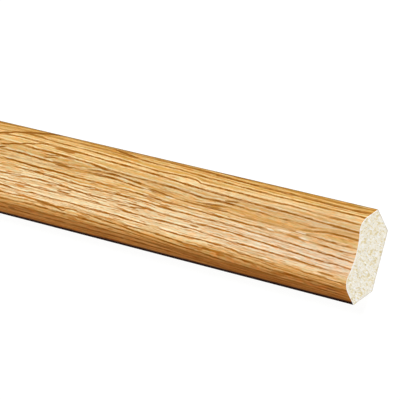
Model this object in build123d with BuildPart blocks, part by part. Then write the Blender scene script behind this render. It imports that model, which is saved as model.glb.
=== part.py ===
"""Sprung cove trim moulding: one straight length of extruded stock.

The section is the usual one for a small cove fitted across an inside corner.
A flat back, two 45 degree bevels that bed on the wall and on the ceiling, two
lips square to those bevels, and a shallow hollow (the cove) between them.
The length lies on its flat back with the hollow face up.

Frame: X along the length, Y across the face, Z up from the back.
Origin: middle of the flat back. Millimetres.
"""

import os

from build123d import *

# ---- driving dimensions (mm) ----------------------------------------------
LENGTH = 2438.4  # 8 ft stock length
FACE_WIDTH = 41.28  # tip to tip across the face, 1 5/8 in
BACK_WIDTH = 26.15  # flat back between the two bevels
COVE_DEPTH_Z = 12.63  # thickness at the bottom of the hollow
COVE_RADIUS = 41.3  # radius of the hollow
LIP_RADIUS = 7.2  # round between each lip and the hollow
TIP_RADIUS = 0.25  # eased outer tip of each lip
BACK_CORNER_RADIUS = 0.6  # eased corner between the back and each bevel

# ---- derived ----------------------------------------------------------------
half_face = FACE_WIDTH / 2
half_back = BACK_WIDTH / 2
bevel_rise = half_face - half_back  # 45 degree bevel: as high as it is wide
cove_centre_z = COVE_DEPTH_Z + COVE_RADIUS

# The lip runs up at 45 degrees from the tip and meets the hollow at a corner,
# which the lip radius then rounds: y + z = lip_sum on the lip, and
# y^2 + (z - cove_centre_z)^2 = COVE_RADIUS^2 in the hollow.
lip_sum = half_face + bevel_rise
k = lip_sum - cove_centre_z
corner_y = (k + (2 * COVE_RADIUS**2 - k**2) ** 0.5) / 2
corner_z = lip_sum - corner_y

# ---- the moulding -----------------------------------------------------------
section_plane = Plane(origin=(-LENGTH / 2, 0, 0), x_dir=(0, 1, 0), z_dir=(1, 0, 0))

with BuildPart() as moulding:
    with BuildSketch(section_plane) as section:
        with BuildLine() as outline:
            Polyline(
                (-corner_y, corner_z),
                (-half_face, bevel_rise),
                (-half_back, 0),
                (half_back, 0),
                (half_face, bevel_rise),
                (corner_y, corner_z),
            )
            ThreePointArc(
                (corner_y, corner_z), (0, COVE_DEPTH_Z), (-corner_y, corner_z)
            )
        make_face()
        # in the sketch, X is across the face and Y is up from the back
        lips = section.vertices().group_by(Axis.Y)[-1]
        fillet(lips, radius=LIP_RADIUS)
        back_corners = section.vertices().group_by(Axis.Y)[0]
        fillet(back_corners, radius=BACK_CORNER_RADIUS)
        tips = section.vertices().filter_by(lambda v: abs(abs(v.X) - half_face) < 1e-6)
        fillet(tips, radius=TIP_RADIUS)
    extrude(amount=LENGTH)

moulding.part.label = "moulding"

os.makedirs("parts", exist_ok=True)
export_step(moulding.part, "parts/moulding.step")

box = moulding.part.bounding_box()
print("size", box.size, "min", box.min, "max", box.max)
print("section area mm2", moulding.part.volume / LENGTH, "volume mm3", moulding.part.volume)
print("faces", len(moulding.part.faces()), "solids", len(moulding.part.solids()), "valid", moulding.part.is_valid)
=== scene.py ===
"""Looks of the cove trim moulding: an oak woodgrain print on the face of a foamed core.

One closed mesh stands for the whole length. The print is drawn by nodes in the developed
frame of the face: s runs along the length from the right end, v across the face from the
upper tip, both in millimetres.
"""

import math

import bpy
import numpy as np
from mathutils import Matrix, Vector, noise
from mathutils.geometry import delaunay_2d_cdt


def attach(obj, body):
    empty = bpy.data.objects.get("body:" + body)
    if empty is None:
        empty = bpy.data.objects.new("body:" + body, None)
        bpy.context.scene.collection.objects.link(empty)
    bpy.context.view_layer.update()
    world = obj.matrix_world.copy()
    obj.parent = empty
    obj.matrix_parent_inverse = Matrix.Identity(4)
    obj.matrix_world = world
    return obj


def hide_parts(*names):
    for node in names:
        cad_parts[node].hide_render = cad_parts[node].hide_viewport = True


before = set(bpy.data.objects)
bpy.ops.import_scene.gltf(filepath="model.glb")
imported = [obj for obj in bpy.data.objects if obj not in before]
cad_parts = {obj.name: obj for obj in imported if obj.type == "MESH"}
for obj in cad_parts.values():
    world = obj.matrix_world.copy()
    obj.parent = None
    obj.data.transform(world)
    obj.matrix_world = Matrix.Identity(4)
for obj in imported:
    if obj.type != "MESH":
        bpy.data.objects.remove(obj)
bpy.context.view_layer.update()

SEED = 11

# ---------------------------------------------------------------- section (mm)
LENGTH = 2438.4
FACE_WIDTH = 41.28
BACK_WIDTH = 26.15
COVE_Z = 12.63
COVE_R = 41.3
LIP_R = 7.2
TIP_R = 0.25
BACK_R = 0.6
CUT_EASE = 0.07  # the saw leaves the cut edges barely broken

HALF = FACE_WIDTH / 2
RISE = HALF - BACK_WIDTH / 2
COVE_C = COVE_Z + COVE_R
R2 = math.sqrt(0.5)


def half_outline(n_cove, n_lip_round, n_lip, n_tip, bevel_stops, n_corner, n_back):
    """Points and outward normals of the +Y half, from the middle of the hollow round to the middle of the back."""
    k = HALF + RISE - LIP_R / R2
    b = k - COVE_C
    yc = (b + math.sqrt(2 * (COVE_R + LIP_R) ** 2 - b * b)) / 2
    zc = k - yc
    a_cove = math.asin(yc / (COVE_R + LIP_R))
    pts = []
    for t in np.linspace(0, a_cove, n_cove + 1):
        pts.append((COVE_R * math.sin(t), COVE_C - COVE_R * math.cos(t), -math.sin(t), math.cos(t)))
    for t in np.linspace(math.pi / 2 + a_cove, math.pi / 4, n_lip_round + 1)[1:]:
        c, s = math.cos(t), math.sin(t)
        pts.append((yc + LIP_R * c, zc + LIP_R * s, c, s))
    y0, z0 = pts[-1][:2]
    tip_y = HALF - TIP_R / R2
    y1, z1 = tip_y + TIP_R * R2, RISE + TIP_R * R2
    for t in np.linspace(0, 1, n_lip + 1)[1:]:
        pts.append((y0 + (y1 - y0) * t, z0 + (z1 - z0) * t, R2, R2))
    for t in np.linspace(math.pi / 4, -math.pi / 4, n_tip + 1)[1:]:
        c, s = math.cos(t), math.sin(t)
        pts.append((tip_y + TIP_R * c, RISE + TIP_R * s, c, s))
    y0, z0 = pts[-1][:2]
    cy, cz = BACK_WIDTH / 2 + BACK_R - BACK_R / R2, BACK_R
    y1, z1 = cy + BACK_R * R2, cz - BACK_R * R2
    run = math.hypot(y1 - y0, z1 - z0)
    for d in [*bevel_stops, run]:
        pts.append((y0 + (y1 - y0) * d / run, z0 + (z1 - z0) * d / run, R2, -R2))
    for t in np.linspace(-math.pi / 4, -math.pi / 2, n_corner + 1)[1:]:
        c, s = math.cos(t), math.sin(t)
        pts.append((cy + BACK_R * c, cz + BACK_R * s, c, s))
    for t in np.linspace(1, 0, n_back + 1)[1:]:
        pts.append((cy * t, 0.0, 0.0, -1.0))
    return np.array(pts)


def ring(half):
    """The whole outline, anticlockwise seen from +X, starting in the middle of the back."""
    left = half * np.array([-1, 1, -1, 1])
    return np.vstack([half[::-1], left[1:-1]])


N_COVE, N_ROUND, N_LIP, N_TIP = 12, 10, 6, 6
HALF_PTS = half_outline(N_COVE, N_ROUND, N_LIP, N_TIP, [1.2, 4.0, 7.0], 3, 4)
RING = ring(HALF_PTS)  # y, z, ny, nz
NR = len(RING)
N_FRONT = N_COVE + N_ROUND + N_LIP + N_TIP // 2  # segments from the middle of the hollow to the end of the tip

# developed distance round the ring, 0 at the upper tip's outermost line and growing down the face
step = np.hypot(*np.diff(np.vstack([RING, RING[:1]])[:, :2], axis=0).T)
around = np.concatenate([[0], np.cumsum(step)])  # NR + 1 values, the seam in the middle of the back
tip_index = len(HALF_PTS) - 1 - N_FRONT
around = around - around[tip_index] + 0.1
V_RING = around
FACE_V = 2 * (around[tip_index + N_FRONT] - 0.1) + 0.2  # about 46.2
print("face developed width", round(float(FACE_V), 2), "ring points", NR)

# ---------------------------------------------------------------- grain lines
# Long grain lines of the seen stretch, given as (s, v, ink). The last number is the half width.
LINES = [
    ([(0, 3.6, 0.75), (13, 4.2, 0.95), (47, 3.6, 0.7), (105, 2.8, 0.75), (133, 1.7, 0.7), (200, 1.0, 0.3), (300, 0.8, 0.2)], 0.5),
    ([(0, 6.9, 0.9), (37, 6.8, 0.9), (72, 6.5, 0.9), (105, 5.8, 0.6), (125, 5.3, 0.8), (150, 4.3, 0.8), (171, 4.2, 0.8), (186, 3.6, 0.8), (200, 3.0, 0.3), (214, 2.7, 0.5), (240, 2.6, 0.5), (300, 2.6, 0.2)], 0.3),
    ([(0, 10.6, 0.7), (30, 10.3, 0.75), (55, 9.4, 0.7), (72, 9.8, 0.65), (98, 9.3, 0.85), (126, 9.2, 0.9), (133, 7.6, 0.7), (162, 8.2, 0.8), (184, 7.3, 0.6), (200, 6.6, 0.8), (230, 5.7, 0.7), (251, 5.6, 0.7), (272, 4.4, 0.5), (300, 4.2, 0.1)], 0.3),
    ([(0, 13.9, 1.0), (26, 13.6, 1.0), (47, 12.8, 0.9), (73, 12.5, 0.9), (108, 11.9, 0.9), (137, 11.1, 1.0), (154, 10.3, 0.9), (179, 9.4, 0.8), (207, 8.9, 0.8), (222, 8.4, 0.7), (252, 7.9, 0.8), (281, 7.2, 0.8), (300, 7.6, 0.6)], 0.3),
    ([(0, 15.4, 0.0), (28, 16.0, 0.0), (36, 16.4, 0.7), (48, 16.1, 0.8), (63, 16.0, 0.7), (77, 15.4, 0.8), (84, 15.6, 0.4), (92, 15.1, 0.8), (108, 14.9, 0.9), (120, 15.3, 0.9), (142, 13.9, 0.9), (175, 13.5, 0.8), (200, 13.0, 0.9), (217, 11.9, 0.8), (244, 11.4, 0.8), (262, 11.4, 0.8), (275, 11.0, 0.2), (300, 10.6, 0.3)], 0.32),
    ([(0, 17.1, 0.7), (17, 16.8, 0.8), (30, 17.4, 0.8), (42, 18.6, 0.5), (47, 18.7, 0.0), (80, 17.3, 0.0), (103, 16.5, 0.2), (110, 17.0, 0.8), (123, 17.7, 0.6), (130, 17.7, 0.0), (165, 16.1, 0.0), (172, 15.6, 0.7), (190, 14.5, 0.75), (206, 14.4, 0.6), (216, 15.2, 0.0), (232, 16.0, 0.7), (246, 15.6, 0.8), (268, 15.0, 0.8), (285, 14.7, 0.8), (300, 14.4, 0.5)], 0.28),
    ([(0, 21.0, 0.6), (22, 20.6, 0.8), (42, 19.9, 0.8), (60, 19.3, 0.3), (92, 19.1, 0.4), (100, 18.5, 0.6), (133, 18.4, 0.7), (150, 17.9, 0.2), (164, 17.5, 0.7), (172, 17.4, 0.9), (183, 16.7, 0.9), (200, 16.0, 0.9), (214, 16.3, 0.4), (224, 17.0, 0.0), (260, 17.2, 0.1), (300, 17.0, 0.2)], 0.3),
    ([(0, 22.9, 0.7), (7, 23.3, 0.7), (24, 22.9, 0.8), (30, 22.7, 0.1), (60, 21.9, 0.3), (72, 21.8, 0.7), (98, 21.5, 0.9), (125, 21.1, 0.9), (153, 20.6, 0.7), (165, 20.3, 0.8), (181, 19.9, 0.8), (190, 20.0, 0.1), (206, 19.7, 0.8), (227, 19.6, 0.8), (247, 19.2, 0.9), (272, 18.9, 0.9), (300, 18.5, 0.8)], 0.27),
    ([(0, 26.7, 1.0), (22, 25.8, 1.0), (34, 25.7, 1.0), (54, 25.0, 0.9), (67, 24.7, 0.9), (95, 23.9, 0.9), (129, 23.5, 0.9), (147, 23.5, 0.9), (167, 22.8, 0.8), (190, 22.6, 0.8), (222, 22.5, 0.7), (235, 22.1, 0.9), (260, 21.5, 0.9), (276, 21.4, 0.8), (281, 21.3, 0.1), (300, 21.2, 0.4)], 0.25),
    ([(0, 29.8, 0.8), (13, 29.1, 0.8), (20, 29.5, 0.9), (42, 28.7, 0.9), (59, 28.0, 0.9), (76, 27.4, 0.8), (95, 26.6, 0.9), (117, 26.7, 0.8), (128, 26.4, 0.7), (142, 26.2, 0.6), (153, 26.1, 0.3), (164, 25.4, 0.7), (177, 25.1, 0.7), (190, 25.5, 0.6), (206, 26.0, 0.95), (220, 25.6, 0.95), (235, 24.9, 0.95), (257, 24.4, 0.95), (274, 24.9, 0.9), (300, 25.3, 0.8)], 0.26),
    ([(0, 32.6, 0.1), (26, 32.1, 0.7), (47, 31.4, 0.8), (76, 30.7, 0.9), (92, 30.6, 0.8), (104, 30.1, 0.8), (115, 29.9, 0.2), (121, 29.4, 0.8), (142, 29.2, 0.8), (162, 29.3, 0.8), (182, 29.0, 0.8), (190, 28.7, 0.0), (207, 28.3, 0.95), (222, 28.3, 0.95), (230, 28.3, 0.0), (241, 28.3, 1.0), (266, 28.2, 0.95), (270, 28.2, 0.1), (281, 28.0, 0.95), (300, 28.3, 0.85)], 0.26),
    ([(0, 36.6, 0.9), (13, 36.1, 0.9), (18, 36.0, 0.2), (30, 35.7, 0.9), (35, 35.6, 0.0), (57, 35.2, 0.0), (61, 35.0, 0.9), (84, 34.5, 0.9), (92, 33.6, 0.8), (117, 33.1, 0.9), (129, 33.4, 0.9), (147, 32.8, 0.9), (150, 32.8, 0.0), (158, 32.6, 0.0), (160, 32.6, 0.8), (190, 31.9, 0.95), (210, 31.8, 1.0), (227, 31.4, 1.0), (239, 31.7, 0.95), (257, 31.1, 0.95), (266, 31.8, 0.9), (287, 30.8, 0.85), (300, 31.0, 0.4)], 0.27),
    ([(0, 39.4, 0.8), (34, 38.5, 0.85), (59, 38.3, 0.75), (66, 37.6, 0.3), (84, 37.0, 0.9), (93, 36.3, 0.3), (114, 36.3, 0.7), (126, 36.2, 0.7), (140, 35.8, 0.7), (158, 35.1, 0.8), (174, 34.9, 0.8), (178, 34.6, 0.0), (228, 33.0, 0.0), (300, 32.6, 0.0)], 0.3),
    ([(0, 42.3, 0.5), (20, 42.0, 0.6), (59, 41.0, 0.7), (92, 40.0, 0.7), (112, 38.9, 0.8), (137, 38.0, 0.8), (164, 36.7, 0.8), (179, 35.8, 0.8), (197, 35.1, 0.95), (210, 34.3, 0.95), (222, 33.9, 0.85), (230, 34.4, 0.95), (255, 33.7, 0.95), (267, 33.6, 0.9), (285, 34.0, 0.9), (300, 34.2, 0.5)], 0.31),
    ([(0, 43.6, 0.3), (60, 42.5, 0.4), (100, 41.4, 0.3), (137, 39.6, 0.4), (160, 38.2, 0.4), (176, 37.5, 0.8), (206, 36.9, 0.85), (227, 36.8, 0.8), (252, 36.4, 0.8), (285, 36.9, 0.75), (300, 37.0, 0.5)], 0.28),
    ([(0, 44.5, 0.3), (100, 42.6, 0.5), (130, 41.7, 0.6), (160, 40.1, 0.6), (190, 39.6, 0.6), (227, 39.4, 0.5), (251, 39.0, 0.4), (277, 39.0, 0.4), (300, 39.2, 0.3)], 0.32),
    ([(0, 45.4, 0.2), (100, 43.7, 0.5), (150, 42.4, 0.6), (190, 41.8, 0.6), (240, 41.6, 0.6), (300, 41.4, 0.5)], 0.45),
]
SEEN = 300.0  # mm of the length whose lines are placed; the rest is grown from noise


def grain_fields(s_rows, v_cols):
    """Line number g, flow (mm), pitch (mm a line), ink and half width on a grid of s by v."""
    n = len(LINES)
    s = np.asarray(s_rows)
    pos = np.zeros((n, len(s)))
    ink = np.zeros((n, len(s)))
    wid = np.zeros((n, len(s)))
    home = np.array([np.mean([p[1] for p in pts]) for pts, _ in LINES])
    even = (np.arange(n) + 0.6) * FACE_V / n
    for i, (pts, w) in enumerate(LINES):
        ps, pv, pi = np.array(pts).T
        seen_v = np.interp(s, ps, pv)
        seen_i = np.interp(s, ps, pi)
        # a slow drift shared by neighbours, a drift of its own and a small waver
        far_v = np.array([
            even[i]
            + 2.6 * noise.noise(Vector((x / 330.0, i * 0.12, 3.1)))
            + 1.1 * noise.noise(Vector((x / 120.0, i * 0.9, 7.7)))
            + 0.28 * noise.noise(Vector((x / 24.0, i * 3.3, 1.3)))
            for x in s
        ])
        far_i = np.array([
            np.clip(0.62 + 1.15 * noise.noise(Vector((x / 55.0, i * 2.7, 9.2))) + 0.5 * noise.noise(Vector((x / 15.0, i * 1.7, 4.4))), 0, 1)
            for x in s
        ])
        t = np.clip((s - (SEEN - 25)) / 80.0, 0, 1)
        t = t * t * (3 - 2 * t)
        pos[i] = seen_v * (1 - t) + far_v * t
        ink[i] = seen_i * (1 - t) + far_i * t
        wid[i] = w * (1 - t) + t * (0.27 if 1 <= i < n - 3 else 0.45)
    for i in range(1, n):  # lines never cross
        pos[i] = np.maximum(pos[i], pos[i - 1] + 0.45)
    # lines beyond both edges carry the fields round the tips
    top, bottom = pos[:1] - 2.4, pos[-1:] + 2.4
    pos = np.vstack([top, pos, bottom])
    ink = np.vstack([0 * ink[:1], ink, 0 * ink[-1:]])
    wid = np.vstack([wid[:1], wid, wid[-1:]])
    homes = np.concatenate([[home[0] - 2.4], home, [home[-1] + 2.4]])
    k = np.arange(n + 2, dtype=float)
    out = np.zeros((len(s), len(v_cols), 5))
    for j in range(len(s)):
        p = pos[:, j]
        g = np.interp(v_cols, p, k)
        below, above = v_cols < p[0], v_cols > p[-1]
        g = np.where(below, (v_cols - p[0]) / 2.4, np.where(above, n + 1 + (v_cols - p[-1]) / 2.4, g))
        out[j, :, 0] = g
        out[j, :, 1] = np.interp(g, k, homes)
        lo = np.clip(np.floor(g).astype(int), 0, n)
        out[j, :, 2] = np.clip(p[lo + 1] - p[lo], 0.4, 6)
        out[j, :, 3] = np.interp(g, k, ink[:, j])
        out[j, :, 4] = np.interp(g, k, wid[:, j])
    return out


# ---------------------------------------------------------------- mesh
ROWS = 408  # along the length, a multiple of 3 so that the bake map can be cut in thirds
xs = np.linspace(-LENGTH / 2 + CUT_EASE, LENGTH / 2 - CUT_EASE, ROWS + 1)
s_rows = LENGTH / 2 - xs
body = np.zeros((ROWS + 1, NR, 3))
body[:, :, 0] = xs[:, None]
body[:, :, 1] = RING[None, :, 0]
body[:, :, 2] = RING[None, :, 1]
fields = grain_fields(s_rows, V_RING[:NR])

verts = [body.reshape(-1, 3)]
n_body = (ROWS + 1) * NR
faces, mats, uv_grain, uv_bake = [], [], [], []

# bake map: the face in three rows, the back in three thin rows, the two ends below
PX = 1024.0
f0, f1 = tip_index - N_TIP // 2 - 1, tip_index + 2 * N_FRONT + N_TIP // 2 + 1  # ring columns that carry print
THIRD = ROWS // 3


# per strip of the ring: first and last column, height of its first row, rise and step from third to third
STRIPS = {"face": (f0, f1, 4.0, 290.0, 294.0), "low": (f1, NR, 886.0, 7.0, 17.0), "high": (0, f0, 894.0, 7.0, 17.0)}


def bake_uv(row, col, third, strip):
    c0, c1, base, rise, pitch = STRIPS[strip]
    share = (V_RING[col] - V_RING[c0]) / (V_RING[c1] - V_RING[c0])
    x = 4 + 1016 * (row - third * THIRD) / THIRD
    return x / PX, (base + third * pitch + rise * share) / PX


for j in range(ROWS):
    third = j // THIRD
    for i in range(NR):
        i1 = (i + 1) % NR
        faces.append((j * NR + i, j * NR + i1, (j + 1) * NR + i1, (j + 1) * NR + i))
        mats.append(0)
        va, vb = V_RING[i], V_RING[i + 1]
        sa, sb = s_rows[j], s_rows[j + 1]
        uv_grain += [(sa, va), (sa, vb), (sb, vb), (sb, va)]
        strip = "face" if f0 <= i < f1 else "low" if i >= f1 else "high"
        uv_bake += [
            bake_uv(j, i, third, strip), bake_uv(j, i + 1, third, strip),
            bake_uv(j + 1, i + 1, third, strip), bake_uv(j + 1, i, third, strip)]

fine = ring(half_outline(70, 50, 36, 8, list(np.arange(0.15, 9.9, 0.15)), 5, 80))
foam_v = np.zeros((n_body, 3))  # depth, cell tone and nearness to the outline, for the cut ends


def inside(poly, pts):
    """Which points lie in the polygon, by crossing count."""
    y, z = pts[:, 0], pts[:, 1]
    hit = np.zeros(len(pts), bool)
    a, b = poly, np.roll(poly, -1, axis=0)
    for (ya, za), (yb, zb) in zip(a, b):
        if za == zb:
            continue
        crosses = (za > z) != (zb > z)
        hit ^= crosses & (y < (yb - ya) * (z - za) / (zb - za) + ya)
    return hit


def end_cap(sign, seed):
    """A sawn end: the outline ring, a ring just inside the eased edge, and cut foam cells between."""
    rng = np.random.default_rng(seed)
    rim = fine[:, :2] - CUT_EASE * fine[:, 2:]
    keep = [0]
    for i in range(1, len(rim)):
        if np.hypot(*(rim[i] - rim[keep[-1]])) > 0.1:
            keep.append(i)
    rim = rim[keep]
    pitch = 0.158
    gy = np.arange(-21, 21, pitch)
    gz = np.arange(-0.2, 14.2, pitch * 0.866)
    grid = np.array([(y + pitch / 2 * (r % 2), z) for r, z in enumerate(gz) for y in gy])
    grid += rng.normal(0, 0.022, grid.shape)
    inner = fine[:, :2] - (CUT_EASE + 0.11) * fine[:, 2:]
    grid = grid[inside(inner, grid)]
    # foam cells: scattered centres, each cell cut to its own depth
    cells = []
    for y, z in rng.uniform((-21, -0.5), (21, 14.5), (9000, 2)):
        cells.append((y, z))
    cells = np.array(cells)
    kept = []
    for i, c in enumerate(cells):
        if not kept or np.min(np.hypot(*(cells[kept] - c).T)) > 0.42:
            kept.append(i)
    cells = cells[kept]
    depth = rng.uniform(0.03, 0.2, len(cells))
    tone = rng.uniform(0, 1, len(cells))
    near = np.zeros((len(grid), 2))
    which = np.zeros(len(grid), int)
    for a in range(0, len(grid), 2000):
        d = np.hypot(grid[a:a + 2000, None, 0] - cells[None, :, 0], grid[a:a + 2000, None, 1] - cells[None, :, 1])
        o = np.argpartition(d, 1, axis=1)[:, :2]
        dd = np.take_along_axis(d, o, 1)
        flip = dd[:, 0] > dd[:, 1]
        o[flip] = o[flip][:, ::-1]
        dd[flip] = dd[flip][:, ::-1]
        near[a:a + 2000] = dd
        which[a:a + 2000] = o[:, 0]
    wall = np.clip((near[:, 1] - near[:, 0]) / 0.22, 0, 1)
    pit = wall * wall * (3 - 2 * wall)
    dip = pit * depth[which]

    outer = RING[:, :2]
    flat = np.vstack([outer, rim, grid])
    n0, n1 = len(outer), len(outer) + len(rim)
    edges = [(i, (i + 1) % n0) for i in range(n0)]
    got = delaunay_2d_cdt([Vector(p) for p in flat], edges, [], 1, 1e-7)
    if len(got[0]) != len(flat):
        raise RuntimeError("the end's points were merged")
    order = np.array([o[0] for o in got[3]])
    tri = np.array([[order[v] for v in f] for f in got[2]])
    a, b, c = (flat[tri[:, i]] for i in range(3))
    area = (b[:, 0] - a[:, 0]) * (c[:, 1] - a[:, 1]) - (b[:, 1] - a[:, 1]) * (c[:, 0] - a[:, 0])
    tri[area < 0] = tri[area < 0][:, ::-1]
    x = np.full(len(flat), sign * LENGTH / 2)
    x[:n0] = sign * (LENGTH / 2 - CUT_EASE)
    x[n1:] -= sign * dip
    data = np.zeros((len(flat), 3))
    data[n1:, 0] = pit * depth[which] / 0.2
    data[n1:, 1] = tone[which]
    # how near the skin of the back and bevels: 1 at the outline, 0 from 0.35 mm inwards;
    # how near the printed face: -1 at the outline, 0 from 0.6 mm inwards
    bedded = fine[(fine[:, 3] < 0) & (fine[:, 2] ** 2 < 0.9), :2]
    printed = fine[fine[:, 3] > 0.2, :2]
    for a in range(0, len(flat), 2000):
        some = flat[a:a + 2000]
        back_d, face_d = (
            np.hypot(some[:, None, 0] - line[None, :, 0], some[:, None, 1] - line[None, :, 1]).min(axis=1)
            for line in (bedded, printed))
        data[a:a + 2000, 2] = np.clip(1 - back_d / 0.35, 0, 1) - np.clip(1 - face_d / 0.6, 0, 1) * (back_d > 0.35)
    return np.c_[x, flat], tri, data, n0


offset = n_body
for sign, seed, u0 in ((1, SEED, 4), (-1, SEED + 1, 520)):
    pts, tri, data, n0 = end_cap(sign, seed)
    row = ROWS if sign > 0 else 0
    index = np.concatenate([row * NR + np.arange(n0), offset + np.arange(len(pts) - n0)])
    verts.append(pts[n0:])
    foam_v = np.vstack([foam_v, data[n0:]])
    for t in tri:
        t = t if sign > 0 else t[::-1]
        faces.append(tuple(int(index[v]) for v in t))
        mats.append(1)
        for v in t:
            y, z = pts[v, 1], pts[v, 2]
            uv_grain.append((y, z))
            uv_bake.append(((u0 + (y + 21) * 11.8) / PX, (940 + z * 5.8) / PX))
    offset += len(pts) - n0
    print("end", sign, "triangles", len(tri))

verts = np.vstack(verts) / 1000.0
mesh = bpy.data.meshes.new("cove_moulding")
mesh.from_pydata(verts.tolist(), [], faces)
for name, uvs in (("grain", uv_grain), ("OFBake", uv_bake)):
    layer = mesh.uv_layers.new(name=name)
    layer.data.foreach_set("uv", np.array(uvs, np.float32).ravel())
mesh.uv_layers.active = mesh.uv_layers["grain"]
mesh.uv_layers["grain"].active_render = True
mesh.polygons.foreach_set("material_index", np.array(mats, np.int32))
mesh.polygons.foreach_set("use_smooth", np.array([m == 0 for m in mats], bool))

flow = np.zeros((len(verts), 3), np.float32)
press = np.zeros((len(verts), 3), np.float32)
flow[:n_body] = fields.reshape(-1, 5)[:, :3]
press[:n_body, :2] = fields.reshape(-1, 5)[:, 3:]
for name, values in (("flow", flow), ("press", press), ("foam", foam_v.astype(np.float32))):
    attribute = mesh.attributes.new(name, "FLOAT_VECTOR", "POINT")
    attribute.data.foreach_set("vector", values.ravel())
mesh.validate()
mesh.update()
moulding = bpy.data.objects.new("cove_moulding", mesh)
bpy.context.scene.collection.objects.link(moulding)
print("triangles", sum(len(f) - 2 for f in faces))


# ---------------------------------------------------------------- node helpers
class Nodes:
    def __init__(self, name):
        self.mat = bpy.data.materials.new(name)
        self.mat.use_nodes = True
        self.tree = self.mat.node_tree
        self.tree.nodes.clear()
        self.out = self.tree.nodes.new("ShaderNodeOutputMaterial")
        self.bsdf = self.tree.nodes.new("ShaderNodeBsdfPrincipled")
        self.link(self.bsdf.outputs["BSDF"], self.out.inputs["Surface"])

    def new(self, kind, **settings):
        n = self.tree.nodes.new(kind)
        for k, v in settings.items():
            setattr(n, k, v)
        return n

    def link(self, a, b):
        self.tree.links.new(a, b)

    def put(self, value, socket):
        if isinstance(value, (int, float)):
            socket.default_value = value
        elif isinstance(value, (tuple, list)):
            socket.default_value = value
        else:
            self.link(value, socket)

    def math(self, op, a, b=None, c=None, clamp=False):
        n = self.new("ShaderNodeMath", operation=op, use_clamp=clamp)
        for value, socket in zip((a, b, c), n.inputs):
            if value is not None:
                self.put(value, socket)
        return n.outputs[0]

    def add(self, a, b):
        return self.math("ADD", a, b)

    def mul(self, a, b):
        return self.math("MULTIPLY", a, b)

    def step(self, x, low, high, a=0.0, b=1.0):
        """Smooth ramp from a to b as x goes from low to high."""
        n = self.new("ShaderNodeMapRange", interpolation_type="SMOOTHSTEP", clamp=True)
        for value, name in ((x, "Value"), (low, "From Min"), (high, "From Max"), (a, "To Min"), (b, "To Max")):
            self.put(value, n.inputs[name])
        return n.outputs["Result"]

    def line(self, x, low, high, a=0.0, b=1.0):
        n = self.new("ShaderNodeMapRange", interpolation_type="LINEAR", clamp=True)
        for value, name in ((x, "Value"), (low, "From Min"), (high, "From Max"), (a, "To Min"), (b, "To Max")):
            self.put(value, n.inputs[name])
        return n.outputs["Result"]

    def vec(self, x, y, z=0.0):
        n = self.new("ShaderNodeCombineXYZ")
        for value, socket in zip((x, y, z), n.inputs):
            self.put(value, socket)
        return n.outputs[0]

    def split(self, v):
        n = self.new("ShaderNodeSeparateXYZ")
        self.link(v, n.inputs[0])
        return n.outputs

    def noise(self, x, y, dx, dy, detail=1.0, rough=0.5, seed=0.0):
        """Noise in two dimensions with features about dx by dy mm, from 0 to 1 about 0.5."""
        n = self.new("ShaderNodeTexNoise", noise_dimensions="3D")
        self.link(self.vec(self.mul(x, 1.0 / dx), self.mul(y, 1.0 / dy), seed), n.inputs["Vector"])
        n.inputs["Scale"].default_value = 1.0
        n.inputs["Detail"].default_value = detail
        n.inputs["Roughness"].default_value = rough
        return n.outputs[0]

    def ramp(self, x, stops, mode="LINEAR"):
        n = self.new("ShaderNodeValToRGB")
        e = n.color_ramp
        e.interpolation = mode
        while len(e.elements) < len(stops):
            e.elements.new(0.5)
        for el, (p, c) in zip(e.elements, stops):
            el.position = p
            el.color = (*c, 1) if isinstance(c, tuple) else (c, c, c, 1)
        self.link(x, n.inputs[0])
        return n.outputs[0]

    def mix(self, f, a, b, mode="MIX"):
        n = self.new("ShaderNodeMix", data_type="RGBA", blend_type=mode, clamp_factor=True)
        for value, socket in ((f, n.inputs[0]), (a, n.inputs[6]), (b, n.inputs[7])):
            if isinstance(value, tuple):
                value = (*value, 1)
            self.put(value, socket)
        return n.outputs[2]


def attribute(n, name):
    a = n.new("ShaderNodeAttribute", attribute_name=name, attribute_type="GEOMETRY")
    return n.split(a.outputs["Vector"])


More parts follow.
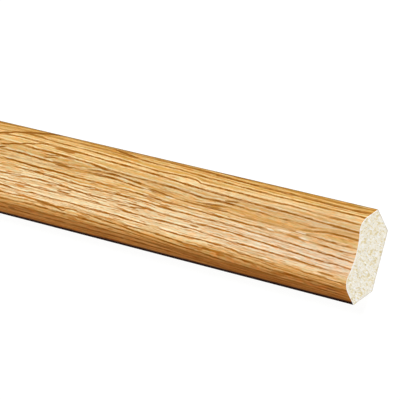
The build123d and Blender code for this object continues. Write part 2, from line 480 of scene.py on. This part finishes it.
# ---------------------------------------------------------------- printed face and plain back
def print_material():
    n = Nodes("oak_print")
    uv = n.new("ShaderNodeUVMap", uv_map="grain")
    s, v, _ = n.split(uv.outputs[0])
    g, flow_v, pitch = attribute(n, "flow")
    ink, wid, _ = attribute(n, "press")

    # base tone: golden on the lips and in the upper hollow, cream lower down
    across = n.mul(v, 1 / 46.2)
    colour = n.ramp(across, [
        (0.0, (0.57, 0.315, 0.06)), (0.09, (0.57, 0.30, 0.05)), (0.15, (0.62, 0.375, 0.105)), (0.22, (0.71, 0.45, 0.165)),
        (0.30, (0.79, 0.49, 0.185)), (0.38, (0.82, 0.47, 0.14)), (0.46, (0.78, 0.475, 0.18)), (0.54, (0.77, 0.54, 0.305)),
        (0.64, (0.745, 0.545, 0.325)), (0.715, (0.74, 0.54, 0.31)), (0.77, (0.75, 0.415, 0.12)), (0.83, (0.73, 0.325, 0.065)),
        (0.90, (0.70, 0.268, 0.045)), (1.0, (0.65, 0.24, 0.04))])
    # the darkest ink, deeper in hue towards the lower lip
    tint = n.ramp(across, [(0.0, (0.8, 0.86, 0.86)), (0.14, (0.85, 0.9, 0.9)), (0.24, (1.0, 1.0, 1.0)),
                           (0.75, (1.0, 1.0, 1.0)), (0.87, (0.95, 0.84, 0.7)), (1.0, (0.95, 0.8, 0.6))])
    # the palest wood beside the ink, golden on the lips and cream in the hollow
    pale = n.ramp(across, [
        (0.0, (0.71, 0.48, 0.21)), (0.10, (0.755, 0.54, 0.26)), (0.16, (0.81, 0.61, 0.33)), (0.22, (0.88, 0.70, 0.42)),
        (0.30, (0.92, 0.755, 0.49)), (0.38, (0.93, 0.75, 0.46)), (0.46, (0.92, 0.76, 0.48)), (0.54, (0.91, 0.775, 0.53)),
        (0.68, (0.91, 0.77, 0.52)), (0.74, (0.93, 0.73, 0.42)), (0.80, (0.89, 0.57, 0.235)), (0.86, (0.78, 0.375, 0.11)),
        (1.0, (0.75, 0.32, 0.08))])
    # towards the seen end the hollow is calmer and pinker
    calm = n.mul(n.step(s, 150.0, 20.0), n.ramp(across, [(0.0, 0.0), (0.14, 0.0), (0.2, 1.0), (0.72, 1.0), (0.8, 0.0)]))
    pale = n.mix(calm, pale, n.mix(1.0, pale, (0.945, 0.895, 0.90), "MULTIPLY"))
    # broad bands and fine fibres along the grain, paler and deeper
    broad = n.noise(s, flow_v, 110, 4.0, 2, 0.5, 1.0)
    band = n.noise(s, flow_v, 48, 1.25, 3, 0.55, 2.0)
    tone = n.add(n.mul(n.add(broad, -0.5), 1.1), n.mul(n.add(band, -0.5), 1.5))
    paler = n.mix(0.6, colour, pale)
    deeper = n.mix(1.0, colour, (0.84, 0.67, 0.42), "MULTIPLY")
    colour = n.mix(n.line(tone, 0.02, 0.5), colour, paler)
    colour = n.mix(n.mul(n.line(tone, -0.02, -0.42), 0.95), colour, deeper)
    fibre = n.noise(s, flow_v, 16, 0.34, 2, 0.6, 3.0)
    colour = n.mix(n.line(fibre, 0.42, 0.70, 0.0, 0.36), colour, n.mix(1.0, colour, (0.84, 0.73, 0.56), "MULTIPLY"))
    colour = n.mix(n.line(fibre, 0.46, 0.28, 0.0, 0.34), colour, pale)

    blush = n.mul(n.step(s, 150.0, 20.0), n.ramp(across, [
        (0.0, 0.0), (0.13, 0.0), (0.18, 1.0), (0.26, 0.9), (0.32, 0.5), (0.36, 0.6), (0.40, 1.0), (0.52, 1.0), (0.72, 1.0), (0.77, 0.2), (0.82, 0.0)]))
    colour = n.mix(blush, colour, n.mix(1.0, colour, (0.98, 1.035, 1.26), "MULTIPLY"))
    # and the turn into the lower lip darker near the seen end: partly a deeper print, partly painted shade
    lower_lip_painted_shade = n.mul(n.step(s, 200.0, 50.0), n.step(v, 34.3, 38.2))
    colour = n.mix(lower_lip_painted_shade, colour, n.mix(1.0, colour, (0.86, 0.745, 0.63), "MULTIPLY"))

    # long streaks on the two lips
    streak = n.noise(s, flow_v, 46, 0.52, 2, 0.55, 8.0)
    on_lips = n.ramp(across, [(0.0, 0.9), (0.13, 0.8), (0.22, 0.3), (0.3, 0.1), (0.7, 0.1), (0.78, 0.7), (0.84, 1.0), (1.0, 1.0)])
    colour = n.mix(n.mul(n.step(streak, 0.515, 0.60), on_lips), colour, n.mix(1.0, colour, (0.61, 0.455, 0.305), "MULTIPLY"))
    colour = n.mix(n.mul(n.step(streak, 0.485, 0.38), n.mul(on_lips, 0.85)), colour, pale)

    # orange smears along the grain
    smear = n.noise(s, flow_v, 30, 1.5, 2, 0.5, 4.0)
    colour = n.mix(n.mul(n.step(smear, 0.57, 0.72), 0.35), colour, n.mix(1.0, (0.64, 0.31, 0.06), tint, "MULTIPLY"))

    # single marks of the seen stretch: s, v, half length, half width, fall of v per mm of s, strength
    warp_s = n.add(s, n.mul(n.add(n.noise(s, v, 6, 1.2, 2, 0.6, 20.0), -0.5), 7.0))
    warp_v = n.add(v, n.mul(n.add(n.noise(s, v, 9, 1.5, 2, 0.6, 21.0), -0.5), 0.45))
    warped = n.vec(warp_s, warp_v)

    def marks(rows):
        total = None
        for s0, v0, length, width, fall, strength in rows:
            place = n.new("ShaderNodeMapping", vector_type="TEXTURE")
            place.inputs["Location"].default_value = (s0, v0, 0)
            place.inputs["Rotation"].default_value = (0, 0, math.atan(fall))
            place.inputs["Scale"].default_value = (length, width, 1)
            n.link(warped, place.inputs["Vector"])
            ball = n.new("ShaderNodeTexGradient", gradient_type="SPHERICAL")
            n.link(place.outputs[0], ball.inputs[0])
            part = n.step(ball.outputs[1], 0.05, 0.6, 0.0, strength)
            total = part if total is None else n.math("MAXIMUM", total, part)
        return total

    golden = marks([
        (154, 6.6, 34, 1.5, -0.012, 0.8), (272, 3.4, 30, 1.8, 0.10, 0.6), (35, 18.2, 22, 1.0, -0.02, 0.35),
        (6, 2.7, 24, 1.8, 0.0, 0.7), (10, 15.6, 22, 1.2, 0.0, 0.15),
        (12, 19.0, 16, 1.0, -0.02, 0.35), (225, 13.6, 30, 1.1, -0.02, 0.6), (120, 17.2, 24, 1.2, -0.01, 0.7),
        (150, 32.6, 12, 0.9, 0.0, 0.45), (80, 13.6, 24, 1.0, -0.02, 0.3),
        (240, 15.4, 14, 0.9, -0.03, 0.8), (110, 18.2, 9, 0.9, 0.06, 0.8), (252, 11.6, 14, 0.8, -0.06, 0.7)])
    light = marks([
        (135, 9.4, 13, 1.5, -0.01, 0.8), (50, 9.1, 42, 0.9, -0.01, 0.6), (40, 14.9, 40, 1.0, -0.015, 0.2), (100, 10.9, 30, 1.0, -0.012, 0.5),
        (30, 24.3, 30, 1.2, -0.03, 0.7), (150, 24.8, 36, 1.3, -0.012, 0.6), (75, 29.2, 34, 1.5, -0.02, 0.2),
        (215, 30.0, 32, 1.2, -0.005, 0.6), (120, 31.8, 34, 1.3, -0.02, 0.3), (262, 23.0, 26, 1.1, -0.01, 0.6),
        (262, 17.1, 40, 1.3, 0.0, 0.8), (210, 17.7, 30, 1.0, 0.0, 0.7), (30, 33.6, 40, 1.1, -0.015, 0.7), (240, 32.8, 44, 0.9, 0.0, 0.7)])
    colour = n.mix(golden, colour, n.mix(1.0, (0.68, 0.35, 0.075), tint, "MULTIPLY"))
    colour = n.mix(n.mul(light, 0.85), colour, pale)

    # long lines, broken into strokes, each with a thin paler rim
    waver = n.add(
        n.mul(n.add(n.noise(s, flow_v, 9, 1.3, 1, 0.5, 5.0), -0.5), 0.5),
        n.mul(n.add(n.noise(s, flow_v, 3.2, 0.9, 1, 0.5, 15.0), -0.5), 0.3))
    number = n.math("FLOOR", n.add(g, 0.5))
    away = n.add(n.mul(n.math("SUBTRACT", g, number), pitch), waver)
    beside = n.math("ABSOLUTE", away)
    press_n = n.noise(s, n.mul(number, 7.3), 20, 1, 1, 0.5, 6.0)
    stroke_n = n.noise(s, n.mul(number, 6.1), 5.5, 1, 1, 0.5, 16.0)
    press = n.mul(ink, n.mul(n.line(press_n, 0.28, 0.5, 0.7, 1.24), n.line(stroke_n, 0.3, 0.5, 0.65, 1.16)))
    press = n.mul(press, n.line(calm, 0.0, 1.0, 1.02, 0.8))
    wide_n = n.noise(s, n.mul(number, 5.1), 13, 1, 1, 0.5, 7.0)
    half = n.mul(wid, n.line(wide_n, 0.3, 0.7, 0.9, 1.6))
    core = n.step(n.math("DIVIDE", beside, half), 1.1, 0.65)
    rim = n.step(n.math("ABSOLUTE", n.math("SUBTRACT", beside, n.add(half, 0.45))), 0.42, 0.1)
    rim = n.mul(rim, n.mul(n.step(away, 0.2, -0.2, 0.55, 0.85), n.step(s, 150.0, 220.0, 1.0, 1.2)))
    colour = n.mix(n.mul(rim, press), colour, pale)
    fringe = n.mul(n.step(n.math("DIVIDE", beside, half), 1.8, 0.9), n.mul(press, 0.4))
    colour = n.mix(fringe, colour, n.mix(1.0, (0.66, 0.32, 0.055), tint, "MULTIPLY"))
    lines = n.mul(core, press)
    colour = n.mix(lines, colour, n.mix(1.0, (0.30, 0.105, 0.008), tint, "MULTIPLY"))

    # short tapered strokes between, most of them close to a line, each with a paler one above
    where = n.noise(s, flow_v, 60, 5, 1, 0.5, 9.0)
    thick = n.ramp(across, [
        (0.0, 0.35), (0.2, 0.4), (0.4, 0.7), (0.5, 1.0), (0.75, 1.0), (0.85, 0.7), (1.0, 0.4)])
    thick = n.mul(thick, n.line(calm, 0.0, 1.0, 1.0, 0.6))
    easier = n.add(n.mul(n.step(beside, 1.7, 0.6), 0.05), n.mul(n.add(where, -0.5), 0.28))
    bent = n.add(flow_v, n.mul(waver, 0.8))
    dash = n.add(n.noise(s, bent, 12, 0.48, 1, 0.5, 13.0), easier)
    dash_low = n.add(n.noise(s, n.add(bent, 0.5), 12, 0.48, 1, 0.5, 13.0), easier)
    pores = n.mul(n.step(dash, 0.61, 0.655), thick)
    lifted = n.mul(n.step(dash_low, 0.61, 0.655), thick)
    colour = n.mix(n.mul(lifted, 0.5), colour, pale)
    colour = n.mix(n.mul(pores, 0.85), colour, n.mix(1.0, (0.50, 0.195, 0.022), tint, "MULTIPLY"))

    dark = marks([
        (46, 22.1, 10, 0.9, -0.03, 0.55), (98, 13.8, 8, 0.6, 0.06, 0.8), (275, 40.7, 4, 0.6, 0.0, 0.8),
        (16, 34.2, 9, 0.6, -0.02, 0.8), (124, 28.0, 6, 0.55, -0.02, 0.8), (40, 41.7, 12, 0.9, -0.02, 0.6),
        (78, 41.2, 34, 0.7, -0.02, 0.6), (130, 40.6, 40, 0.7, -0.025, 0.6), (205, 43.0, 30, 0.6, -0.01, 0.5)])
    colour = n.mix(n.step(dark, 0.0, 0.5, 0.0, 0.7), colour, n.mix(1.0, (0.64, 0.30, 0.05), tint, "MULTIPLY"))
    colour = n.mix(dark, colour, n.mix(1.0, (0.34, 0.135, 0.02), tint, "MULTIPLY"))

    # strokes of the seen stretch that cut across the long lines: s, v, half width, ink
    def stroke(points):
        s0, s1 = points[0][0], points[-1][0]
        path = n.ramp(n.line(s, s0, s1), [((a - s0) / (s1 - s0), (b / 50.0, c / 2.0, d)) for a, b, c, d in points], "EASE")
        at_v, wide, pressed = n.split(path)
        off = n.math("ABSOLUTE", n.math("SUBTRACT", warp_v, n.mul(at_v, 50.0)))
        return n.mul(n.step(n.math("DIVIDE", off, n.mul(wide, 2.0)), 1.15, 0.5), pressed)

    crossing = None
    for points in [
        [(252, 0.0, 0.4, 0.0), (256, 0.4, 0.7, 1.0), (263, 1.1, 0.8, 1.0), (270, 2.2, 0.8, 1.0), (279, 3.4, 0.75, 1.0),
         (286, 4.6, 0.75, 1.0), (294, 6.6, 0.85, 0.95), (301, 8.3, 0.85, 0.9), (304, 9.0, 0.5, 0.0)],
        [(262, 4.6, 0.3, 0.0), (267, 4.2, 0.45, 0.7), (276, 4.0, 0.5, 0.8), (284, 4.7, 0.4, 0.7), (288, 5.0, 0.3, 0.0)],
        [(254, 7.6, 0.2, 0.0), (258, 8.1, 0.3, 0.9), (270, 9.6, 0.4, 1.0), (280, 11.0, 0.45, 1.0), (291, 12.4, 0.4, 1.0), (297, 12.9, 0.2, 0.0)],
        [(287, 12.9, 0.2, 0.0), (292, 13.8, 0.4, 1.0), (300, 15.5, 0.4, 1.0), (304, 16.4, 0.3, 0.0)],
        [(293, 10.4, 0.2, 0.0), (296, 10.9, 0.4, 0.9), (302, 11.3, 0.4, 0.9), (306, 11.6, 0.2, 0.0)],
        [(222, 8.0, 0.2, 0.0), (228, 8.3, 0.7, 0.7), (236, 8.8, 1.2, 0.74), (244, 8.7, 0.8, 0.75), (253, 8.3, 0.2, 0.0)],
        [(246, 11.0, 0.2, 0.0), (250, 11.2, 0.55, 0.65), (257, 11.2, 0.6, 0.65), (263, 11.0, 0.2, 0.0)],
        [(232, 15.2, 0.2, 0.0), (237, 15.2, 0.5, 0.55), (244, 15.1, 0.55, 0.6), (250, 14.8, 0.2, 0.0)],
        [(0, 1.5, 0.45, 0.5), (22, 1.6, 0.55, 0.6), (48, 1.3, 0.4, 0.4), (75, 1.0, 0.3, 0.5), (100, 0.8, 0.2, 0.0)],
        [(0, 14.0, 0.5, 0.75), (14, 13.8, 0.5, 0.8), (27, 13.5, 0.3, 0.4), (34, 13.3, 0.15, 0.0)],
        [(0, 17.2, 0.55, 0.65), (12, 16.9, 0.5, 0.75), (24, 17.0, 0.4, 0.6), (34, 17.6, 0.2, 0.0)],
        [(182, 3.4, 0.15, 0.0), (187, 3.1, 0.4, 0.9), (193, 2.7, 0.6, 1.0), (199, 2.2, 0.65, 1.0), (205, 1.5, 0.55, 0.9), (210, 0.9, 0.3, 0.0)],
        [(142, 18.2, 0.15, 0.0), (148, 17.9, 0.4, 0.75), (156, 17.3, 0.45, 0.8), (162, 16.9, 0.4, 0.8), (168, 16.6, 0.15, 0.0)],
        [(104, 17.6, 0.15, 0.0), (109, 17.9, 0.45, 0.45), (116, 18.2, 0.4, 0.5), (123, 18.1, 0.15, 0.0)],
        [(22, 32.2, 0.15, 0.0), (27, 32.0, 0.4, 0.8), (34, 31.7, 0.4, 0.85), (42, 31.3, 0.3, 0.8), (50, 31.0, 0.15, 0.0)],
        [(222, 19.8, 0.2, 0.0), (228, 19.6, 0.4, 0.95), (247, 19.2, 0.4, 0.95), (262, 19.3, 0.45, 1.0), (272, 18.9, 0.45, 1.0), (286, 18.5, 0.4, 0.9), (294, 18.4, 0.2, 0.0)],
        [(198, 13.4, 0.2, 0.0), (203, 13.0, 0.6, 0.9), (210, 12.4, 0.55, 0.9), (218, 11.9, 0.2, 0.0)],
        [(248, 15.7, 0.2, 0.0), (254, 15.4, 0.4, 0.9), (262, 15.2, 0.4, 0.9), (272, 14.6, 0.2, 0.0)],
        [(228, 16.2, 0.2, 0.0), (234, 16.0, 0.45, 0.85), (242, 16.1, 0.4, 0.8), (248, 15.8, 0.2, 0.0)],
        [(240, 12.1, 0.15, 0.0), (245, 12.2, 0.28, 0.9), (252, 12.6, 0.28, 0.85), (258, 12.4, 0.15, 0.0)],
        [(242, 13.0, 0.15, 0.0), (247, 13.3, 0.28, 0.9), (253, 13.9, 0.28, 0.85), (258, 13.8, 0.15, 0.0)],
        [(204, 14.6, 0.15, 0.0), (207, 14.2, 0.25, 0.7), (213, 14.6, 0.25, 0.75), (219, 15.2, 0.15, 0.0)],
        [(203, 15.8, 0.15, 0.0), (206, 15.7, 0.25, 0.6), (216, 16.0, 0.25, 0.7), (223, 16.3, 0.15, 0.0)],
        [(225, 25.6, 0.15, 0.0), (229, 26.0, 0.3, 0.9), (236, 26.7, 0.28, 0.8), (241, 26.4, 0.15, 0.0)],
        [(226, 27.4, 0.15, 0.0), (230, 27.4, 0.3, 0.9), (237, 27.3, 0.28, 0.8), (241, 27.0, 0.15, 0.0)],
        [(225, 34.3, 0.2, 0.0), (228, 35.5, 0.35, 0.9), (238, 34.6, 0.5, 0.9), (250, 34.0, 0.6, 0.85), (258, 33.5, 0.3, 0.0)],
        [(177, 26.6, 0.15, 0.0), (181, 26.6, 0.35, 0.85), (186, 26.7, 0.35, 0.8), (190, 26.6, 0.15, 0.0)],
        [(162, 25.6, 0.15, 0.0), (166, 25.9, 0.3, 0.85), (176, 26.7, 0.3, 0.85), (180, 26.9, 0.15, 0.0)],
    ]:
        part = stroke(points)
        crossing = part if crossing is None else n.math("MAXIMUM", crossing, part)
    colour = n.mix(n.step(crossing, 0.0, 0.5, 0.0, 0.6), colour, n.mix(1.0, (0.64, 0.30, 0.05), tint, "MULTIPLY"))
    colour = n.mix(crossing, colour, n.mix(1.0, (0.30, 0.105, 0.008), tint, "MULTIPLY"))

    # thin bright threads left bare beside the ink
    glints = marks([
        (66, 21.5, 5, 0.45, -0.03, 0.9), (56, 20.7, 8, 0.45, -0.01, 0.8), (40.5, 21.9, 5.5, 0.5, -0.04, 0.9),
        (43, 19.7, 5, 0.4, -0.02, 0.8), (68, 28.7, 12, 0.45, -0.02, 0.7), (73, 30.0, 12, 0.4, -0.01, 0.6),
        (62, 34.2, 4, 0.5, -0.04, 0.9), (22, 34.9, 4.5, 0.45, -0.03, 0.9), (11, 35.7, 7, 0.45, -0.03, 0.8),
        (93, 22.7, 9, 0.45, -0.02, 0.7), (78, 25.3, 12, 0.45, -0.02, 0.6), (41, 30.4, 6, 0.45, -0.03, 0.9),
        (7, 22.8, 8, 0.4, 0.0, 0.7), (188, 15.4, 7, 0.5, 0.0, 0.8), (148, 18.5, 7, 0.5, -0.03, 0.8),
        (167, 17.7, 5, 0.4, -0.03, 0.8), (128, 20.4, 9, 0.4, -0.02, 0.8), (136, 22.7, 8, 0.4, -0.01, 0.7),
        (122, 23.2, 5, 0.4, 0.0, 0.7), (170, 34.4, 8, 0.45, -0.02, 0.8), (181, 36.9, 10, 0.4, -0.01, 0.7),
        (142, 32.5, 9, 0.45, -0.02, 0.8), (127, 28.7, 11, 0.4, -0.02, 0.7), (183, 25.2, 6, 0.4, 0.0, 0.7),
        (287, 18.0, 6, 0.45, -0.02, 0.9), (272, 20.8, 5, 0.45, -0.02, 0.9), (268, 24.0, 7, 0.4, 0.0, 0.7),
        (280, 27.4, 6, 0.45, 0.0, 0.8), (248, 27.4, 6, 0.45, 0.01, 0.8), (249, 30.8, 12, 0.45, -0.01, 0.6),
        (232, 26.8, 6, 0.4, -0.02, 0.8), (274, 33.4, 7, 0.45, 0.0, 0.8), (242, 33.1, 22, 0.45, -0.01, 0.7),
        (231, 36.1, 9, 0.4, -0.02, 0.7), (242, 35.9, 7, 0.4, -0.02, 0.7), (277, 36.0, 6, 0.4, 0.0, 0.7),
        (232, 5.3, 4.5, 0.6, 0.0, 0.7), (250, 12.0, 6, 0.35, 0.0, 0.5), (206, 13.8, 6, 0.4, 0.0, 0.4)])
    whiter = n.ramp(across, [(0.0, 0.1), (0.15, 0.15), (0.3, 0.25), (0.42, 0.45), (0.5, 0.5), (0.7, 0.5), (0.76, 0.25), (0.82, 0.05)])
    whiter = n.mul(whiter, n.step(s, 230.0, 90.0, 0.4, 1.0))
    colour = n.mix(glints, colour, n.mix(whiter, pale, (1.0, 0.93, 0.80)))

    # warmer and cooler threads, and a fine fleck
    hue = n.noise(s, n.add(flow_v, n.mul(waver, 0.5)), 7, 0.55, 2, 0.55, 17.0)
    inked = n.math("MAXIMUM", n.math("MAXIMUM", lines, fringe), n.math("MAXIMUM", pores, n.math("MAXIMUM", crossing, dark)))
    bare = n.math("SUBTRACT", 1.0, inked, clamp=True)
    colour = n.mix(n.line(hue, 0.48, 0.66), colour, n.mix(1.0, colour, (1.12, 0.925, 0.74), "MULTIPLY"))
    colour = n.mix(n.mul(n.line(hue, 0.49, 0.33), bare), colour, n.mix(1.0, colour, (0.925, 1.05, 1.07), "MULTIPLY"))
    # away from the seen end the hollow is a little more golden
    gold = n.mul(n.step(s, 60.0, 230.0), n.ramp(across, [(0.0, 0.0), (0.15, 0.0), (0.25, 1.0), (0.64, 1.0), (0.71, 0.2), (0.8, 0.0)]))
    colour = n.mix(gold, colour, n.mix(1.0, colour, (1.0, 0.985, 0.915), "MULTIPLY"))
    fleck = n.noise(s, flow_v, 4.2, 0.42, 1, 0.5, 18.0)
    colour = n.mix(n.line(fleck, 0.5, 0.72), colour, n.mix(1.0, colour, (0.88, 0.83, 0.76), "MULTIPLY"))
    colour = n.mix(n.mul(n.line(fleck, 0.5, 0.28), bare), colour, n.mix(1.0, colour, (1.06, 1.07, 1.08), "MULTIPLY"))

    # the upper tip darker; towards the lower tip painted shade, deepening to near black along the lower edge where the
    # rounded tip turns from the light
    colour = n.mix(n.step(v, 1.1, 0.3, 0.0, 0.75), colour, (0.15, 0.078, 0.01))
    colour = n.mix(n.step(v, 42.5, 44.5, 0.0, 0.3), colour, (0.34, 0.115, 0.02))
    colour = n.mix(n.step(v, 44.1, 45.1), colour, (0.018, 0.002, 0.0))

    # the print stops just round the tips; behind is the plain extruded skin
    ragged = n.mul(n.add(n.noise(s, v, 14, 0.8, 3, 0.6, 10.0), -0.5), 0.9)
    face = n.math("MINIMUM", n.step(n.add(v, ragged), -1.15, -0.85), n.step(n.add(v, ragged), 46.85, 46.5))
    die = n.noise(s, v, 400, 0.55, 2, 0.5, 11.0)
    dimple = n.noise(s, v, 5, 2.2, 3, 0.55, 12.0)
    skin = n.mix(n.step(die, 0.3, 0.7), (0.80, 0.755, 0.64), (0.72, 0.665, 0.545))
    skin = n.mix(n.mul(n.step(dimple, 0.55, 0.75), 0.4), skin, (0.66, 0.595, 0.46))
    colour = n.mix(face, skin, colour)
    n.link(colour, n.bsdf.inputs["Base Color"])

    rough = n.add(n.line(fibre, 0.3, 0.7, 0.50, 0.62), n.mul(lines, 0.12))
    rough = n.add(n.mul(face, rough), n.mul(n.math("SUBTRACT", 1.0, face), 0.6))
    n.link(rough, n.bsdf.inputs["Roughness"])
    n.bsdf.inputs["Specular IOR Level"].default_value = 0.02

    height = n.add(n.mul(lines, -1.0), n.add(n.mul(pores, -0.6), n.mul(fibre, 0.5)))
    height = n.add(n.mul(face, height), n.mul(n.math("SUBTRACT", 1.0, face), n.add(n.mul(die, 0.8), n.mul(dimple, -0.8))))
    bump = n.new("ShaderNodeBump")
    bump.inputs["Strength"].default_value = 0.5
    bump.inputs["Distance"].default_value = 0.00006
    n.link(height, bump.inputs["Height"])
    n.link(bump.outputs[0], n.bsdf.inputs["Normal"])
    return n.mat


# ---------------------------------------------------------------- sawn foam
def foam_material():
    n = Nodes("foam_cut")
    uv = n.new("ShaderNodeUVMap", uv_map="grain")
    y, z, _ = n.split(uv.outputs[0])
    depth, tone, skin = attribute(n, "foam")
    colour = n.mix(n.step(tone, 0.1, 0.95), (0.95, 0.915, 0.83), (0.905, 0.85, 0.70))
    cloud = n.noise(y, z, 3.2, 3.8, 2, 0.5, 4.0)
    blotch = n.noise(y, z, 1.05, 1.55, 2, 0.6, 1.0)
    stain = n.add(blotch, n.mul(n.add(cloud, -0.5), 0.4))
    colour = n.mix(n.mul(n.step(stain, 0.50, 0.64), 0.8), colour, (0.77, 0.635, 0.30))
    chalk = n.noise(y, z, 1.1, 1.6, 2, 0.55, 6.0)
    colour = n.mix(n.mul(n.step(chalk, 0.53, 0.65), 0.95), colour, (1.0, 0.99, 0.98))
    # deeper cut cells a little darker and tanner: painted shade in the pits
    colour = n.mix(n.mul(depth, 0.15), colour, (0.78, 0.68, 0.45))
    speck = n.noise(y, z, 0.55, 0.7, 1, 0.5, 2.0)
    colour = n.mix(n.mul(n.step(speck, 0.67, 0.73), 0.85), colour, (0.38, 0.36, 0.22))
    # a thin darker line along the back and bevels, and a thin bright line along the printed face
    colour = n.mix(n.step(skin, -0.2, -0.75), colour, (1.0, 0.99, 0.97))
    colour = n.mix(n.mul(n.math("MAXIMUM", skin, 0.0), 0.75), colour, (0.34, 0.30, 0.23))
    n.link(colour, n.bsdf.inputs["Base Color"])
    n.link(n.line(depth, 0.0, 1.0, 0.62, 0.8), n.bsdf.inputs["Roughness"])
    n.bsdf.inputs["Specular IOR Level"].default_value = 0.25
    fine_n = n.noise(y, z, 0.16, 0.16, 2, 0.6, 3.0)
    bump = n.new("ShaderNodeBump")
    bump.inputs["Strength"].default_value = 0.35
    bump.inputs["Distance"].default_value = 0.00005
    n.link(fine_n, bump.inputs["Height"])
    n.link(bump.outputs[0], n.bsdf.inputs["Normal"])
    return n.mat


mesh.materials.append(print_material())
mesh.materials.append(foam_material())
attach(moulding, "root")
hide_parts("moulding")

# ---------------------------------------------------------------- floor
floor_mesh = bpy.data.meshes.new("floor")
size = 60.0
floor_mesh.from_pydata([(-size, -size, 0), (size, -size, 0), (size, size, 0), (-size, size, 0)], [], [(0, 1, 2, 3)])
floor = bpy.data.objects.new("floor", floor_mesh)
floor.location.z = -0.0002
bpy.context.scene.collection.objects.link(floor)
fn = Nodes("pale_floor")
fn.bsdf.inputs["Base Color"].default_value = (0.14, 0.14, 0.14, 1)
fn.bsdf.inputs["Roughness"].default_value = 0.9
fn.bsdf.inputs["Specular IOR Level"].default_value = 0.0
fn.bsdf.inputs["Emission Color"].default_value = (1, 1, 1, 1)
fn.bsdf.inputs["Emission Strength"].default_value = 0.92
floor_mesh.materials.append(fn.mat)

# ---------------------------------------------------------------- light
world = bpy.data.worlds.new("studio")
bpy.context.scene.world = world
world.use_nodes = True
world.node_tree.nodes["Background"].inputs[0].default_value = (1, 1, 1, 1)
world.node_tree.nodes["Background"].inputs[1].default_value = 0.2


def sun(name, direction, strength, angle):
    light = bpy.data.lights.new(name, "SUN")
    light.energy = strength
    light.angle = math.radians(angle)
    o = bpy.data.objects.new(name, light)
    o.rotation_mode = "QUATERNION"
    o.rotation_quaternion = Vector(direction).normalized().to_track_quat("Z", "Y")
    bpy.context.scene.collection.objects.link(o)
    return o


sun("key", (0.166, 0.534, 0.829), 3.0, 40)
sun("front", (0.9, 0.15, 0.35), 0.45, 60)

# ---------------------------------------------------------------- camera
W = FACE_WIDTH / 1000.0 * 0.996
right = Vector((0.53487547, 0.25031089, -0.80700229))
up = Vector((-0.12990338, 0.96811662, 0.21418527))
back = Vector((0.83488523, -0.00973012, 0.55033806))
at = Vector((LENGTH / 2000.0, 0, 0)) + W * (-1.82691206 * right + 0.61828782 * up + 61.70873 * back)
cam_data = bpy.data.cameras.new("camera")
cam_data.sensor_width = 36.0
cam_data.lens = 6086.786 / 400.0 * 36.0
cam_data.clip_start = 0.05
cam_data.clip_end = 200.0
camera = bpy.data.objects.new("camera", cam_data)
camera.matrix_world = Matrix((
    (right.x, up.x, back.x, at.x),
    (right.y, up.y, back.y, at.y),
    (right.z, up.z, back.z, at.z),
    (0, 0, 0, 1),
))
bpy.context.scene.collection.objects.link(camera)
bpy.context.scene.camera = camera

view = bpy.context.scene.view_settings
view.view_transform = "Standard"
view.look = "None"
view.exposure = 0.0
view.gamma = 1.0
